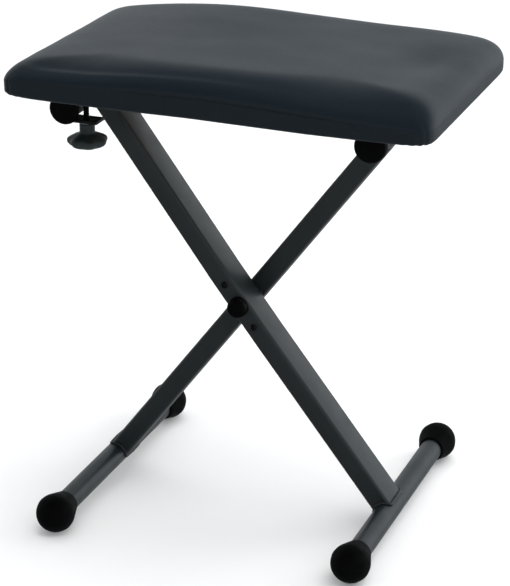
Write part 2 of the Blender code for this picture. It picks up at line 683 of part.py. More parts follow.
def build():
    clear_scene()
    mats = {
        "frame": material("frame_paint", (0.045, 0.049, 0.050), 0.42, 0.25),
        "rubber": material("foot_rubber", (0.012, 0.012, 0.013), 0.55),
        "cap": material("cap_plastic", (0.010, 0.010, 0.011), 0.45),
        "nylon": material("black_nylon", (0.020, 0.020, 0.021), 0.50),
        "screw": material("black_steel", (0.020, 0.022, 0.024), 0.35, 0.8),
        "zinc": material("zinc_plate", (0.62, 0.63, 0.64), 0.30, 1.0),
        "brass": material("brass", (0.66, 0.52, 0.26), 0.35, 1.0),
        "knob": material("knob_plastic", (0.014, 0.015, 0.015), 0.45),
        "vinyl": material("seat_vinyl", (0.022, 0.025, 0.028), 0.42),
        "foam": material("seat_foam", (0.72, 0.68, 0.52), 0.95),
        "board": material("seat_board", (0.45, 0.33, 0.20), 0.75),
    }
    leg_frame("b", 1, math.pi - LEG_SLOPE, -FOOT_BAR_SHIFT, mats)
    leg_frame("a", -1, LEG_SLOPE, FOOT_BAR_SHIFT, mats)
    pivot_hardware(mats)

    seat_axis = empty("seat_hinge_axis", (RIGHT_BAR_X, 0, TOP_BAR_Z))
    seat = empty("seat_frame", (-RIGHT_BAR_X, 0, -TOP_BAR_Z))
    seat.parent = seat_axis
    seat_cover(mats["vinyl"], seat)
    seat_foam(mats["foam"], seat)
    seat_board(mats["board"], seat)
    for side, label in ((-1, "front"), (1, "rear")):
        hinge(side, label, mats, seat)
        glide_rail(side, label, mats, seat)
    clamp_stud(mats, seat)

    clamp = empty("clamp_axis", (STUD_X, -RAIL_Y, 0))
    clamp.parent = seat
    clamp_jaw(mats, clamp)
    clamp_knob(mats, clamp)


build()
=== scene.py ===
"""The looks of the folding bench: cushion, finishes, welds, fixings, floor, light and camera.

Metres, +Z up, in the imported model's own frame. The cushion is a simulated vinyl cover
with a foam block cut to its shape. The ball feet, caps, knob and stud are finer pieces in place
of their plain CAD nodes. Every other CAD node stays and gets its finish here.
"""

import json
import math

import bmesh
import bpy
import numpy as np
from mathutils import Matrix, Vector, noise


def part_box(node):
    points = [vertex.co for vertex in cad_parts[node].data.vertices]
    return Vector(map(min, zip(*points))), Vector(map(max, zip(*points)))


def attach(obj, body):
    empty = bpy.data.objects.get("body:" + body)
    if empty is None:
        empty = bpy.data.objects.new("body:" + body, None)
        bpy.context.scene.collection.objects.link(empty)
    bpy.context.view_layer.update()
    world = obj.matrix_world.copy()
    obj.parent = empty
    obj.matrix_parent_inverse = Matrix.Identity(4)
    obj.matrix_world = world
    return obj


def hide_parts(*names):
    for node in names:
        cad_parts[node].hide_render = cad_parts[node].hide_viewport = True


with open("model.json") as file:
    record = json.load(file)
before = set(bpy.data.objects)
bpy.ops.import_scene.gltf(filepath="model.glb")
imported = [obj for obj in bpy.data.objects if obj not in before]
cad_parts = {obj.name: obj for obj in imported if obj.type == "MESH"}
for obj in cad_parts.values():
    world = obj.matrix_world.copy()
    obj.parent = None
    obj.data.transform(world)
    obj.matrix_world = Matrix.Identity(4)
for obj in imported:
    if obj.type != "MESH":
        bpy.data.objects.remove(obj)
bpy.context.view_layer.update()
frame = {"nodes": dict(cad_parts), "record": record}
NODES = frame["nodes"]

# Sizes read from the frame
COVER_LOW, COVER_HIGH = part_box("seat_cover")
BOARD_LOW, BOARD_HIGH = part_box("seat_board")
HALF_LENGTH = (COVER_HIGH.x - COVER_LOW.x) / 2
HALF_WIDTH = (COVER_HIGH.y - COVER_LOW.y) / 2

# The cushion's plan and its stapled hem
PLAN_POWER = 17.0
HEM_REACH = 0.016
HEM_Z = COVER_LOW.z
EDGE_ROUND = 0.0045
CORNER_PULL = 0.0022

# The roll from the board's edge up to the crowned top
ROLL_IN = 0.043
ROLL_DOWN = 0.0245
ROLL_START = 0.4822
ROLL_TURNS = (-0.5, -1.0, 3, 8, 14, 20, 27, 33, 39, 45)
CROWN = 0.0095
FULL_ROLL = 2.7
FRONT_ROLL = 2.05
FRONT_EXTRA = 0.018

# The crease over the board's edge: higher in front, and deepest along the front's right half
CREASE_DEPTH = 0.0019
CREASE_RISE = 0.0068
CREASE_SLOPE = 0.05
CREASE_REST = 0.04
CREASE_FROM = -0.14
CREASE_FADE = 0.18

# The hollow pressed into the top near the right end
HOLLOW_X, HOLLOW_Y = 0.179, 0.006
HOLLOW_LONG, HOLLOW_WIDE = 0.025, 0.050
HOLLOW_DEPTH = 0.0046

# Cover and foam
VINYL = 0.0011
FOAM_GAP = 0.0005
SWELL_CAP = 0.005
EVENING = 40
CLOTH_FRAMES = 20

# Welds
WELD_BAR_RADIUS = 0.0122
LEG_HALF_WIDTH = 0.011
LEG_CORNER = 0.0035
RIPPLE = 0.0021
BEAD_SIDES = 8

# Floor, camera and light
FLOOR_HALF = 40.0
FLOOR_WASH = 3300
CAMERA_TARGET = Vector((-0.0020, -0.0037, 0.2376))
CAMERA_DISTANCE = 2.3527
CAMERA_AZIMUTH, CAMERA_ELEVATION = math.radians(20.89), math.radians(21.75)
CAMERA_LENS = 136.9


# ---------------------------------------------------------------- node materials


class Finish:
    """A Principled material built from texture nodes in object coordinates."""

    def __init__(self, name, **sockets):
        self.material = bpy.data.materials.new(name)
        self.material.use_nodes = True
        self.tree = self.material.node_tree
        self.shader = self.tree.nodes["Principled BSDF"]
        self.place = self.add("ShaderNodeTexCoord").outputs["Object"]
        for socket, value in sockets.items():
            self.set(socket.replace("_", " "), value)

    def add(self, kind, inputs=None, **settings):
        made = self.tree.nodes.new(kind)
        for key, value in settings.items():
            setattr(made, key, value)
        for key, value in (inputs or {}).items():
            self.feed(made.inputs[key], value)
        return made

    def feed(self, socket, value):
        if isinstance(value, bpy.types.NodeSocket):
            self.tree.links.new(value, socket)
        else:
            socket.default_value = value

    def set(self, socket, value):
        if socket == "Base Color" and not isinstance(value, bpy.types.NodeSocket):
            value = (*value, 1.0)
        self.feed(self.shader.inputs[socket], value)

    def stretched(self, scale):
        """Object coordinates scaled unevenly, for brushed or drawn surfaces."""
        return self.add("ShaderNodeMapping", {"Vector": self.place, "Scale": scale}).outputs[0]

    def noise(self, scale, detail=3.0, rough=0.5, place=None):
        inputs = {"Vector": place or self.place, "Scale": scale, "Detail": detail,
                  "Roughness": rough}
        return self.add("ShaderNodeTexNoise", inputs).outputs["Fac"]

    def cells(self, scale, feature="F1", place=None):
        inputs = {"Vector": place or self.place, "Scale": scale}
        return self.add("ShaderNodeTexVoronoi", inputs, feature=feature).outputs["Distance"]

    def math(self, operation, a, b=0.0):
        return self.add("ShaderNodeMath", {0: a, 1: b}, operation=operation).outputs[0]

    def remap(self, value, low, high, to_low, to_high):
        inputs = {"Value": value, "From Min": low, "From Max": high, "To Min": to_low,
                  "To Max": to_high}
        return self.add("ShaderNodeMapRange", inputs).outputs["Result"]

    def blend(self, share, first, second):
        """A colour between two, by a share from 0 to 1."""
        made = self.add("ShaderNodeMix", {"Factor": share}, data_type="RGBA")
        for index, colour in ((6, first), (7, second)):
            value = colour if isinstance(colour, bpy.types.NodeSocket) else (*colour, 1.0)
            self.feed(made.inputs[index], value)
        return made.outputs[2]

    def axis(self, letter):
        parts = self.add("ShaderNodeSeparateXYZ", {0: self.place})
        return parts.outputs[letter]

    def relief(self, *layers):
        """Bump layers of (height, strength, depth in metres), stacked."""
        normal = None
        for height, strength, depth in layers:
            inputs = {"Height": height, "Strength": strength, "Distance": depth}
            if normal is not None:
                inputs["Normal"] = normal
            normal = self.add("ShaderNodeBump", inputs).outputs["Normal"]
        self.set("Normal", normal)


def powder_coat():
    """Charcoal satin powder coat: orange peel, faint colour drift and small scuffs."""
    made = Finish("frame_powder_coat", Specular_IOR_Level=0.6)
    drift = made.noise(14, 4, 0.6)
    colour = made.blend(made.remap(drift, 0.3, 0.7, 0.0, 1.0), (0.0105, 0.0155, 0.0180),
                        (0.0145, 0.0200, 0.0225))
    scuff = made.remap(made.noise(160, 6, 0.75, made.stretched((1, 0.25, 1))), 0.66, 0.80,
                       0.0, 0.55)
    made.set("Base Color", made.blend(scuff, colour, (0.050, 0.052, 0.053)))
    made.set("Roughness", made.remap(made.noise(55, 5, 0.65), 0.25, 0.75, 0.33, 0.47))
    made.relief((made.noise(620, 2, 0.4), 0.16, 0.00025), (made.noise(2400, 2, 0.5), 0.10, 0.00006))
    return made.material


def weld_coat():
    """The same coat over a weld, a little glossier where it ran."""
    made = Finish("frame_weld_coat", Specular_IOR_Level=0.5)
    made.set("Base Color", made.blend(made.noise(300, 4), (0.014, 0.016, 0.017),
                                      (0.024, 0.026, 0.027)))
    made.set("Roughness", made.remap(made.noise(400, 3), 0.3, 0.7, 0.28, 0.42))
    made.relief((made.noise(1100, 3, 0.6), 0.35, 0.0003))
    return made.material


def foot_rubber():
    """Moulded rubber: matt, fine pits, and pale dust and wear low down on the floor side."""
    made = Finish("foot_rubber", Specular_IOR_Level=0.08)
    worn = made.remap(made.axis("Z"), 0.0006, 0.0050, 1.0, 0.0)
    patchy = made.math("MULTIPLY", worn, made.remap(made.noise(330, 5, 0.7), 0.35, 0.65, 0, 1))
    base = made.blend(made.noise(90, 3), (0.0009, 0.0009, 0.0010), (0.0016, 0.0016, 0.0018))
    made.set("Base Color", made.blend(made.math("MULTIPLY", patchy, 0.6), base,
                                      (0.060, 0.058, 0.055)))
    made.set("Roughness", made.remap(made.noise(120, 4), 0.3, 0.7, 0.58, 0.74))
    made.relief((made.noise(1500, 3, 0.6), 0.30, 0.00012), (made.cells(900), 0.12, 0.0001))
    return made.material


def moulded_plastic(name, dark, light, rough, specular=0.35):
    """Injection moulded plastic with a fine spark-eroded texture."""
    made = Finish(name, Specular_IOR_Level=specular)
    made.set("Base Color", made.blend(made.noise(70, 4), dark, light))
    made.set("Roughness", made.remap(made.noise(210, 4, 0.6), 0.3, 0.7, rough - 0.05,
                                     rough + 0.07))
    made.relief((made.noise(2600, 2, 0.5), 0.22, 0.00008), (made.cells(1700), 0.10, 0.00006))
    return made.material


def zinc_plate():
    """Bright zinc plate: cool spangle, drawn scratches and a faint yellow tint in places."""
    made = Finish("zinc_plate", Metallic=1.0)
    spangle = made.cells(420, "F1")
    cool = made.blend(made.remap(spangle, 0.0, 0.9, 0, 1), (0.60, 0.61, 0.64), (0.44, 0.46, 0.49))
    tint = made.remap(made.noise(45, 3), 0.52, 0.72, 0.0, 0.4)
    made.set("Base Color", made.blend(tint, cool, (0.56, 0.53, 0.43)))
    scratches = made.noise(900, 4, 0.7, made.stretched((0.06, 1.0, 1.0)))
    made.set("Roughness", made.remap(scratches, 0.3, 0.7, 0.22, 0.42))
    made.relief((scratches, 0.14, 0.00006))
    return made.material


def black_steel():
    """Black oxide steel, with brighter wear where a driver or a nut has rubbed."""
    made = Finish("black_steel", Metallic=0.75)
    worn = made.remap(made.noise(700, 5, 0.7), 0.60, 0.75, 0.0, 0.5)
    made.set("Base Color", made.blend(worn, (0.012, 0.013, 0.015), (0.10, 0.10, 0.10)))
    made.set("Roughness", made.remap(made.noise(900, 3), 0.3, 0.7, 0.34, 0.52))
    made.relief((made.noise(1800, 3), 0.15, 0.00006))
    return made.material


def turned_brass():
    made = Finish("turned_brass", Metallic=1.0)
    rings = made.noise(2600, 2, 0.5, made.stretched((0.02, 0.02, 1.0)))
    made.set("Base Color", made.blend(made.noise(220, 4), (0.60, 0.45, 0.20), (0.70, 0.55, 0.28)))
    made.set("Roughness", made.remap(rings, 0.3, 0.7, 0.22, 0.40))
    made.relief((rings, 0.2, 0.00005))
    return made.material


def seat_vinyl():
    """Black upholstery vinyl: fine pebble grain with painted shade in its grooves, broken by shallow
    creases, soft even sheen.
    """
    made = Finish("seat_vinyl", Specular_IOR_Level=0.27)
    bent = made.add("ShaderNodeTexNoise", {"Vector": made.place, "Scale": 260.0, "Detail": 2.0})
    shift = made.add("ShaderNodeVectorMath", {0: bent.outputs["Color"], 1: (0.5, 0.5, 0.5)},
                     operation="SUBTRACT").outputs[0]
    small = made.add("ShaderNodeVectorMath", {0: shift, "Scale": 0.0016},
                     operation="SCALE").outputs[0]
    grain_place = made.add("ShaderNodeVectorMath", {0: made.place, 1: small}).outputs[0]
    pebble = made.cells(760, "DISTANCE_TO_EDGE", grain_place)
    pebble = made.remap(pebble, 0.0, 0.22, 0.0, 1.0)
    fine = made.noise(2300, 3, 0.6)
    drift = made.noise(7, 4, 0.55)
    base = made.blend(made.remap(drift, 0.3, 0.7, 0, 1), (0.0078, 0.0145, 0.0205),
                      (0.0094, 0.0168, 0.0235))
    # Painted shade: the base colour is darkened in the pebble grain's grooves, as if shade sat in
    # them; roughness rises there too
    groove_shade = made.remap(pebble, 0.0, 1.0, 0.35, 0.0)
    made.set("Base Color", made.blend(groove_shade, base, (0.0028, 0.0046, 0.0062)))
    made.set("Roughness", made.math("ADD", made.remap(drift, 0.3, 0.7, 0.33, 0.39),
                                    made.remap(pebble, 0, 1, 0.08, 0.0)))
    made.relief((made.noise(38, 3, 0.5), 0.10, 0.0011), (pebble, 0.22, 0.00012),
                (fine, 0.10, 0.00005))
    return made.material


def seat_foam():
    """Open cell polyurethane foam, a little yellowed."""
    made = Finish("seat_foam", Roughness=0.95, Specular_IOR_Level=0.1)
    cell = made.cells(800)
    made.set("Base Color", made.blend(made.remap(cell, 0, 0.8, 0, 1), (0.78, 0.73, 0.55),
                                      (0.55, 0.48, 0.30)))
    made.relief((cell, 0.7, 0.0006))
    return made.material


def plywood():
    """Rotary cut plywood: long wandering grain on the faces and plies at the edge."""
    made = Finish("seat_board_plywood", Specular_IOR_Level=0.25)
    along = made.stretched((0.9, 11.0, 11.0))
    wander = made.noise(5.5, 6, 0.62, along)
    rings = made.add("ShaderNodeTexWave", {"Vector": along, "Scale": 1.1, "Distortion": 11.0,
                                           "Detail": 4.0, "Detail Scale": 1.2},
                     bands_direction="Y").outputs["Fac"]
    grain = made.math("MULTIPLY", rings, wander)
    light, dark = (0.24, 0.198, 0.148), (0.165, 0.132, 0.095)
    face = made.blend(made.remap(grain, 0.1, 0.65, 0, 1), light, dark)
    pores = made.remap(made.noise(420, 3, 0.6, made.stretched((0.05, 1.0, 1.0))), 0.58, 0.72, 0, 0.5)
    face = made.blend(pores, face, (0.09, 0.06, 0.035))
    plies = made.add("ShaderNodeTexWave", {"Vector": made.stretched((0, 0, 1)), "Scale": 125.0},
                     bands_direction="Z").outputs["Fac"]
    edge = made.blend(made.remap(plies, 0.4, 0.6, 0, 1), (0.28, 0.22, 0.15), (0.14, 0.10, 0.06))
    facing = made.add("ShaderNodeNewGeometry").outputs["Normal"]
    upright = made.math("ABSOLUTE", made.add("ShaderNodeSeparateXYZ", {0: facing}).outputs["Z"])
    made.set("Base Color", made.blend(made.remap(upright, 0.3, 0.8, 0, 1), edge, face))
    made.set("Roughness", made.remap(grain, 0.1, 0.7, 0.62, 0.80))
    made.relief((grain, 0.25, 0.0002))
    return made.material


def felt_backing():
    """The knitted cotton back of the vinyl, seen on the turned-in hem's cut edge."""
    made = Finish("vinyl_backing", Roughness=0.92, Specular_IOR_Level=0.1)
    weave = made.math("MULTIPLY",
                      made.add("ShaderNodeTexWave", {"Vector": made.place, "Scale": 420.0},
                               bands_direction="X").outputs["Fac"],
                      made.add("ShaderNodeTexWave", {"Vector": made.place, "Scale": 420.0},
                               bands_direction="Y").outputs["Fac"])
    made.set("Base Color", made.blend(weave, (0.10, 0.10, 0.10), (0.24, 0.24, 0.23)))
    made.relief((weave, 0.5, 0.0003))
    return made.material


def floor_paper():
    """Matt studio paper."""
    made = Finish("floor_paper", Roughness=0.9, Specular_IOR_Level=0.15)
    made.set("Base Color", made.blend(made.noise(3, 3), (0.80, 0.80, 0.80), (0.815, 0.815, 0.815)))
    return made.material


FINISH = {
    "frame_paint": powder_coat(),
    "foot_rubber": foot_rubber(),
    "cap_plastic": moulded_plastic("cap_plastic", (0.0010, 0.0010, 0.0012),
                                   (0.0019, 0.0019, 0.0022), 0.56, 0.07),
    "black_nylon": moulded_plastic("black_nylon", (0.012, 0.012, 0.013), (0.018, 0.018, 0.019),
                                   0.50),
    "black_steel": black_steel(),
    "zinc_plate": zinc_plate(),
    "brass": turned_brass(),
    "knob_plastic": moulded_plastic("knob_plastic", (0.0200, 0.0270, 0.0290),
                                    (0.0240, 0.0315, 0.0335), 0.42),
    "seat_vinyl": seat_vinyl(),
    "seat_foam": seat_foam(),
    "seat_board": plywood(),
}
WELD = weld_coat()
BACKING = felt_backing()


# ---------------------------------------------------------------- mesh helpers


def smooth_by_angle(limit):
    """A geometry node group that keeps edges sharper than the limit sharp."""
    group = bpy.data.node_groups.new("smooth_by_angle", "GeometryNodeTree")
    group.interface.new_socket("Geometry", in_out="INPUT", socket_type="NodeSocketGeometry")
    group.interface.new_socket("Geometry", in_out="OUTPUT", socket_type="NodeSocketGeometry")
    start = group.nodes.new("NodeGroupInput")
    end = group.nodes.new("NodeGroupOutput")
    faces = group.nodes.new("GeometryNodeSetShadeSmooth")
    faces.inputs["Shade Smooth"].default_value = True
    edges = group.nodes.new("GeometryNodeSetShadeSmooth")
    edges.domain = "EDGE"
    edges.inputs["Shade Smooth"].default_value = False
    angle = group.nodes.new("GeometryNodeInputMeshEdgeAngle")
    sharper = group.nodes.new("FunctionNodeCompare")
    sharper.data_type = "FLOAT"
    sharper.operation = "GREATER_THAN"
    sharper.inputs[1].default_value = math.radians(limit)
    group.links.new(start.outputs[0], faces.inputs["Geometry"])
    group.links.new(faces.outputs[0], edges.inputs["Geometry"])
    group.links.new(angle.outputs["Unsigned Angle"], sharper.inputs[0])
    group.links.new(sharper.outputs[0], edges.inputs["Selection"])
    group.links.new(edges.outputs[0], end.inputs[0])
    return group


SMOOTHING = smooth_by_angle(28)


def finish_cad(name, material, bevel=0.0):
    """Give a CAD node its finish, weld its triangles, and soften its sharp edges."""
    obj = NODES[name]
    obj.data.materials.clear()
    obj.data.materials.append(material)
    normals = obj.data.attributes.get("custom_normal")
    if normals is not None:
        obj.data.attributes.remove(normals)
    weld = obj.modifiers.new("join_triangles", "WELD")
    weld.merge_threshold = 0.000002
    if bevel:
        edge = obj.modifiers.new("soft_edges", "BEVEL")
        edge.width = bevel
        edge.segments = 2
        edge.limit_method = "ANGLE"
        edge.angle_limit = math.radians(32)
    obj.modifiers.new("smoothing", "NODES").node_group = SMOOTHING


def piece(name, bm, material, body, replaced=(), sharp=28):
    """A bmesh as a shown piece that rides on a body."""
    bmesh.ops.recalc_face_normals(bm, faces=bm.faces)
    mesh = bpy.data.meshes.new(name)
    bm.to_mesh(mesh)
    bm.free()
    mesh.shade_smooth()
    mesh.set_sharp_from_angle(angle=math.radians(sharp))
    obj = bpy.data.objects.new(name, mesh)
    bpy.context.scene.collection.objects.link(obj)
    mesh.materials.append(material)
    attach(obj, body)
    if replaced:
        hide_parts(*replaced)
    return obj


def arc(centre_u, centre_v, radius, start, end, steps):
    """Points of an arc, angles in degrees."""
    return [(centre_u + radius * math.cos(math.radians(start + (end - start) * i / steps)),
             centre_v + radius * math.sin(math.radians(start + (end - start) * i / steps)))
            for i in range(steps + 1)]


def lathe(profile, middle, axis, segments=64, ripple=None):
    """Turn (radius, reach) points about an axis through middle. The ends close if radius is 0."""
    bm = bmesh.new()
    along = Vector(axis).normalized()
    side = along.orthogonal().normalized()
    if abs(along.z) < 0.5:
        side = Vector((0, 0, 1))
    other = along.cross(side)
    rings = []
    for radius, reach in profile:
        if radius < 1e-7:
            rings.append([bm.verts.new(Vector(middle) + along * reach)])
            continue
        ring = []
        for i in range(segments):
            angle = 2 * math.pi * i / segments
            r = radius if ripple is None else ripple(radius, angle, reach)
            ring.append(bm.verts.new(Vector(middle) + along * reach
                                     + side * (r * math.cos(angle))
                                     + other * (r * math.sin(angle))))
        rings.append(ring)
    for first, second in zip(rings, rings[1:]):
        join_rings(bm, first, second)
    return bm


def join_rings(bm, first, second):
    """Faces between two rings, either of which may be a single point."""
    if len(first) == 1 and len(second) == 1:
        return
    count = max(len(first), len(second))
    for i in range(count):
        j = (i + 1) % count
        if len(first) == 1:
            bm.faces.new((first[0], second[i], second[j]))
        elif len(second) == 1:
            bm.faces.new((first[i], first[j], second[0]))
        else:
            bm.faces.new((first[i], first[j], second[j], second[i]))


def middle_of(node):
    low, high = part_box(node)
    return (low + high) / 2


# ---------------------------------------------------------------- cushion


def plan_point(u, v, inset):
    """A point of the rounded plan, (u, v) on the unit square, moved in by inset."""
    top = max(abs(u), abs(v))
    if top < 1e-9:
        return Vector((0.0, 0.0))
    scale = ((abs(u) / top) ** PLAN_POWER + (abs(v) / top) ** PLAN_POWER) ** (-1 / PLAN_POWER)
    return Vector((u * scale * (HALF_LENGTH - inset), v * scale * (HALF_WIDTH - inset)))


def inset_of(x, y):
    """How far in from the plan's edge a point lies, by halving."""
    near, far = 0.0, HALF_WIDTH
    for _ in range(22):
        middle = (near + far) / 2
        reach = (abs(x) / (HALF_LENGTH - middle)) ** PLAN_POWER
        reach += (abs(y) / (HALF_WIDTH - middle + 1e-9)) ** PLAN_POWER
        if reach < 1:
            near = middle
        else:
            far = middle
    return near


def crown_at(x):
    return CROWN * (1 - (x / HALF_LENGTH) ** 2)


def hem_drop(x, y):
    """The hem hangs a little lower towards the front right corner and higher at the left."""
    front = 0.5 - 0.5 * y / HALF_WIDTH
    right = min(1.0, max(0.0, (x + 0.02) / 0.12))
    left = min(1.0, max(0.0, (-x - 0.10) / 0.10))
    return (0.0013 * left - 0.0024 * right) * front


def front_share(flat):
    """1 where the plan's edge faces front, 0 where it faces an end or the back."""
    along = (abs(flat[0]) / HALF_LENGTH) ** (PLAN_POWER - 1) / HALF_LENGTH
    across = (abs(flat[1]) / HALF_WIDTH) ** (PLAN_POWER - 1) / HALF_WIDTH
    return across / max(1e-12, along + across) if flat[1] < 0 else 0.0


def board_line(flat):
    """Height of the crease over the board's edge, and how deep it is pulled in there."""
    front = front_share(flat)
    height = BOARD_HIGH.z + 0.0004 + front * (CREASE_RISE - CREASE_SLOPE * max(flat[0], 0.0))
    fade = min(1.0, max(0.0, (flat[0] - CREASE_FROM) / CREASE_FADE))
    deep = CREASE_REST + (1 - CREASE_REST) * front ** 6 * fade
    return height, CREASE_DEPTH * deep


def side_rows():
    """Rows of (inset, lift, share of the way to the crease), from the hem's cut edge up."""
    rows = [(inset, 0.0, 0.0) for inset in (HEM_REACH, 0.0132, 0.0104, 0.0076)]
    rows += [(inset, lift, 0.0) for inset, lift in
             arc(EDGE_ROUND, EDGE_ROUND, EDGE_ROUND, 270, 180, 5)]
    return rows + [(0.0, EDGE_ROUND, share) for share in (0.30, 0.58, 0.80, 0.93, 1.0)]


def side_point(u, v, row):
    """A point of the stapled part of the cover."""
    inset, lift, share = row
    line, deep = board_line(plan_point(u, v, inset))
    flat = plan_point(u, v, inset - 0.5 * deep * share ** 6)
    height = HEM_Z + lift + hem_drop(flat.x, flat.y) * (1 - share)
    return flat, height + share * (line - HEM_Z - lift)


def roll_point(u, v, turn):
    """A point low on the roll, by its angle; negative angles lie on the crease's ledge."""
    line, deep = board_line(plan_point(u, v, 0.0))
    if turn < 0:
        return plan_point(u, v, (-turn - 0.5) * deep), line + 0.0003 * -turn
    inset = ROLL_IN * (1 - math.cos(math.radians(turn)))
    flat = plan_point(u, v, inset + 0.5 * deep * math.exp(-turn / 24))
    above = line + 0.0006
    lift = roll_lift(plan_point(u, v, inset), inset)
    return flat, above + lift - (above - ROLL_START) * roll_share(inset / ROLL_IN, 2.0)


def roll_power(flat):
    """How far the plan faces front, and the roll's curve: an ellipse in front, fuller elsewhere."""
    front = front_share(flat)
    return front, FULL_ROLL + (FRONT_ROLL - FULL_ROLL) * front


def roll_share(part, power):
    """How far up the roll has risen, from 0 to 1, at a part of its width in from the edge."""
    if part >= 1:
        return 1.0
    return (1 - (1 - part) ** power) ** (1 / power)


def bell(value, middle, width):
    return math.exp(-((value - middle) / width) ** 2)


def lopsided(x, y):
    """How the stuffing sits unevenly: high at the back left, low at the left end, full right."""
    back = 1 / (1 + math.exp(-(y - 0.045) / 0.022))
    mound = 0.0046 * bell(x, -0.075, 0.085) * back
    left = -0.0030 * bell(x, -0.225, 0.045) / (1 + math.exp(-(y + 0.05) / 0.03))
    right = 0.0020 / (1 + math.exp(-(x - 0.14) / 0.02))
    return mound + left + right


def roll_lift(flat, inset):
    """Height above the roll's start at a point of the plan."""
    front, power = roll_power(flat)
    reach = ROLL_IN + FRONT_EXTRA * front * min(1.0, abs(flat.x + 0.01) / 0.12) ** 2
    full = ROLL_DOWN + crown_at(flat.x) + lopsided(flat.x, flat.y)
    return full * roll_share(inset / reach, power)


def cushion_blank():
    """The cover before it is blown up: a grid on top and rows down to the stapled hem."""
    across, deep = 92, 60
    bm = bmesh.new()
    inner = ROLL_IN * (1 - math.cos(math.radians(ROLL_TURNS[-1])))
    loop = []
    for i in range(across):
        loop.append((-1 + 2 * i / across, -1.0))
    for j in range(deep):
        loop.append((1.0, -1 + 2 * j / deep))
    for i in range(across):
        loop.append((1 - 2 * i / across, 1.0))
    for j in range(deep):
        loop.append((-1.0, 1 - 2 * j / deep))
    rings = []
    for row in side_rows():
        rings.append([side_point(u, v, row) for u, v in loop])
    stapled = len(rings) + sum(1 for turn in ROLL_TURNS if turn < 0)
    for turn in ROLL_TURNS:
        rings.append([roll_point(u, v, turn) for u, v in loop])
    rings = [[bm.verts.new((flat.x, flat.y, height)) for flat, height in ring] for ring in rings]
    pinned = [vert for ring in rings[:stapled] for vert in ring]
    for first, second in zip(rings, rings[1:]):
        join_rings(bm, first, second)
    grid = {}
    for index, (u, v) in enumerate(loop):
        grid[(round((u + 1) * across / 2), round((v + 1) * deep / 2))] = rings[-1][index]
    for i in range(across + 1):
        for j in range(deep + 1):
            if (i, j) in grid:
                continue
            u, v = -1 + 2 * i / across, -1 + 2 * j / deep
            flat = plan_point(u, v, inner)
            height = ROLL_START + roll_lift(flat, inset_of(flat.x, flat.y))
            grid[(i, j)] = bm.verts.new((flat.x, flat.y, height))
    for i in range(across):
        for j in range(deep):
            bm.faces.new((grid[(i, j)], grid[(i + 1, j)], grid[(i + 1, j + 1)], grid[(i, j + 1)]))
    bm.verts.index_update()
    held = [vert.index for vert in pinned]
    mesh = bpy.data.meshes.new("cushion_blank")
    bm.normal_update()
    bm.to_mesh(mesh)
    bm.free()
    return mesh, held


def evaluated(obj):
    """The object's mesh with its modifiers applied."""
    graph = bpy.context.evaluated_depsgraph_get()
    return bpy.data.meshes.new_from_object(obj.evaluated_get(graph))


def points_of(mesh):
    flat = np.zeros(len(mesh.vertices) * 3)
    mesh.vertices.foreach_get("co", flat)
    return flat.reshape(-1, 3)


def put_points(mesh, points):
    mesh.vertices.foreach_set("co", np.asarray(points, np.float64).ravel())
    mesh.update()


def evened(mesh, move, held, times):
    """Even out a movement between neighbours: stretched vinyl spans its small wrinkles."""
    ends = np.zeros(len(mesh.edges) * 2, np.int64)
    mesh.edges.foreach_get("vertices", ends)
    ends = ends.reshape(-1, 2)
    count = np.bincount(ends.ravel(), minlength=len(move))[:, None]
    for _ in range(times):
        total = np.zeros_like(move)
        np.add.at(total, ends[:, 0], move[ends[:, 1]])
        np.add.at(total, ends[:, 1], move[ends[:, 0]])
        move = 0.4 * move + 0.6 * total / count
        move[held] = 0.0
    return move


def blow_up(mesh, held):
    """Swell the free part of the cover with cloth under pressure, the hem held by the board."""
    scene = bpy.context.scene
    obj = bpy.data.objects.new("cushion_work", mesh)
    scene.collection.objects.link(obj)
    group = obj.vertex_groups.new(name="stapled")
    group.add(held, 1.0, "REPLACE")
    before = points_of(mesh)
    cloth = obj.modifiers.new("Cloth", "CLOTH")
    settings = cloth.settings
    settings.quality = 6
    settings.mass = 0.35
    settings.tension_stiffness = 40
    settings.compression_stiffness = 30
    settings.shear_stiffness = 18
    settings.bending_stiffness = 4.0
    settings.shrink_min = 0.02
    settings.vertex_group_mass = "stapled"
    settings.use_pressure = True
    settings.uniform_pressure_force = 4.0
    settings.effector_weights.gravity = 0.0
    cloth.collision_settings.use_collision = False
    cloth.collision_settings.use_self_collision = False
    cloth.point_cache.frame_start = 1
    cloth.point_cache.frame_end = CLOTH_FRAMES
    for number in range(1, CLOTH_FRAMES + 1):
        scene.frame_set(number)
    swollen = evaluated(obj)
    after = points_of(swollen)
    move = after - before
    length = np.linalg.norm(move, axis=1, keepdims=True)
    limited = SWELL_CAP * np.tanh(length / SWELL_CAP)
    move *= limited / np.maximum(length, 1e-9)
    put_points(swollen, before + evened(swollen, move, held, EVENING))
    bpy.data.objects.remove(obj)
    scene.frame_set(1)
    return swollen


def subdivided(mesh, levels):
    obj = bpy.data.objects.new("subdivide_work", mesh)
    bpy.context.scene.collection.objects.link(obj)
    modifier = obj.modifiers.new("Subdivision", "SUBSURF")
    modifier.levels = levels
    modifier.render_levels = levels
    made = evaluated(obj)
    bpy.data.objects.remove(obj)
    return made


